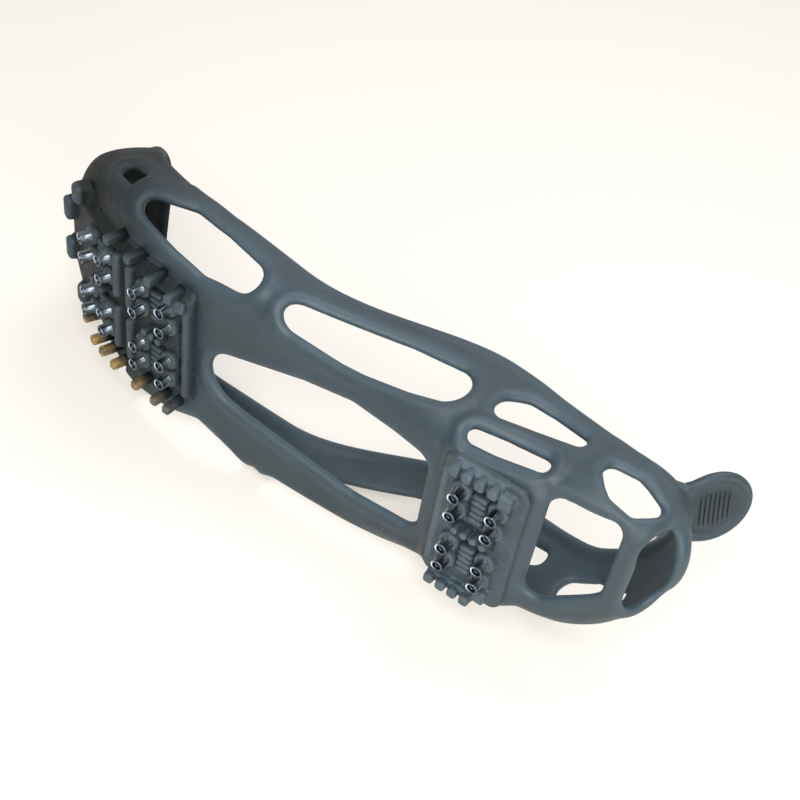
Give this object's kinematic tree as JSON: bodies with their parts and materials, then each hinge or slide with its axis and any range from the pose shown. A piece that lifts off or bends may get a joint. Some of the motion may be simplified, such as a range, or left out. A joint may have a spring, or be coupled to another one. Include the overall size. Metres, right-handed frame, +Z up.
{
  "type": "ice cleat",
  "caption": "Pull-on ice cleat: a cut-out rubber harness that carries studded tread plates under heel and forefoot, with a ribbed pull tab at the heel.",
  "frame": {"origin": "middle of the part's box, at the level of the stud tips that it stands on", "axes": "+X along the foot towards the toe, +Y to the wearer's left, +Z up from the studs to the rim"},
  "size_m": [0.2897, 0.0995, 0.0828],
  "materials": {
    "harness_rubber": "satin",
    "tread_rubber": "matte",
    "stud_steel": "satin"
  },
  "bodies": {
    "harness": {"harness": "harness_rubber", "heel_tread": "tread_rubber", "ball_tread": "tread_rubber", "toe_tread": "tread_rubber", "heel_stud_1": "stud_steel", "heel_stud_2": "stud_steel", "heel_stud_3": "stud_steel", "heel_stud_4": "stud_steel", "heel_stud_5": "stud_steel", "heel_stud_6": "stud_steel", "heel_stud_7": "stud_steel", "heel_stud_8": "stud_steel", "ball_stud_1": "stud_steel", "ball_stud_2": "stud_steel", "ball_stud_3": "stud_steel", "ball_stud_4": "stud_steel", "ball_stud_5": "stud_steel", "ball_stud_6": "stud_steel", "ball_stud_7": "stud_steel", "ball_stud_8": "stud_steel", "toe_stud_1": "stud_steel", "toe_stud_2": "stud_steel", "toe_stud_3": "stud_steel", "toe_stud_4": "stud_steel", "toe_stud_5": "stud_steel", "toe_stud_6": "stud_steel", "toe_stud_7": "stud_steel", "toe_stud_8": "stud_steel"},
    "pull_tab": {"heel_pull_tab": "harness_rubber"}
  },
  "joints": [
    {"name": "heel_tab_flex", "type": "hinge", "parent": "harness", "child": "pull_tab", "pos_m": [-0.12833, 0.00933, 0.05738], "axis": [0.225, 0.9744, 0], "range_deg": [-45, 40], "stiffness_Nm_per_rad": 0.05}
  ]
}
